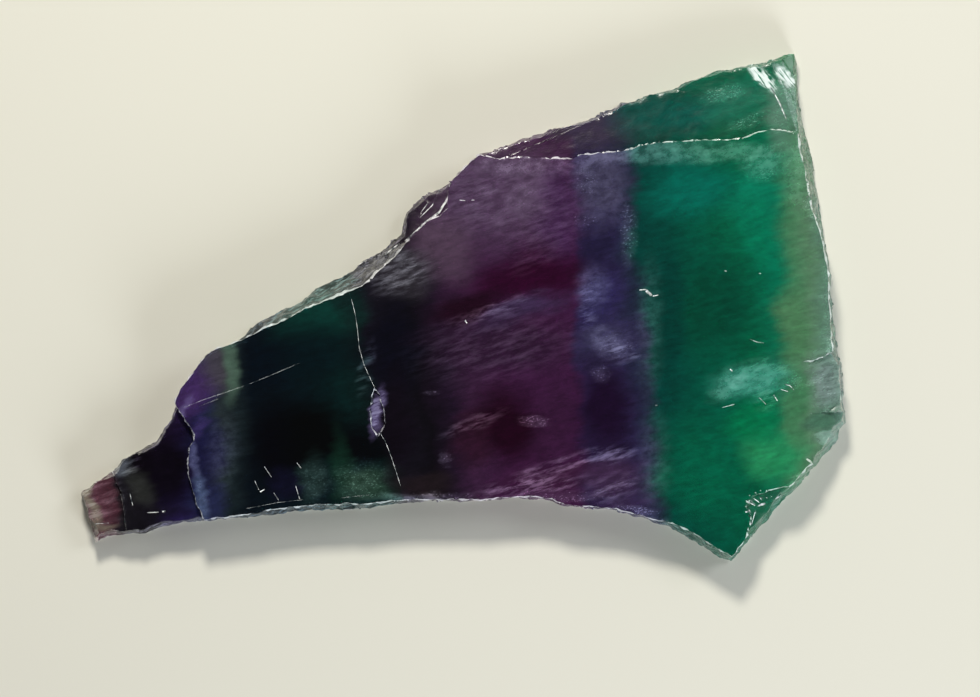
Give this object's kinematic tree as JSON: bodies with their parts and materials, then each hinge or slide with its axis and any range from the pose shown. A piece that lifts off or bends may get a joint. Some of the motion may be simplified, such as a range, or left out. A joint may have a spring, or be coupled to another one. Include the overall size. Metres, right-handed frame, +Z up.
{
  "type": "rainbow fluorite slab",
  "caption": "Flat slab of banded purple and green fluorite with two sawn faces and broken glassy edges, tapering from a broad end to a narrow tail; it lies on its back.",
  "frame": {"origin": "middle of the slab's outline, on the surface it rests on", "axes": "+X from the narrow tail to the broad end, +Y from the hollow lower side to the top side, +Z up out of the front face"},
  "size_m": [0.14, 0.093, 0.009],
  "materials": {
    "fluorite": "translucent crystal with satin sawn faces, glassy on the broken sides, banded mauve, near-black violet, dark teal, wine purple, emerald and olive"
  },
  "bodies": {
    "root": {"fluorite_slab": "fluorite"}
  },
  "joints": []
}
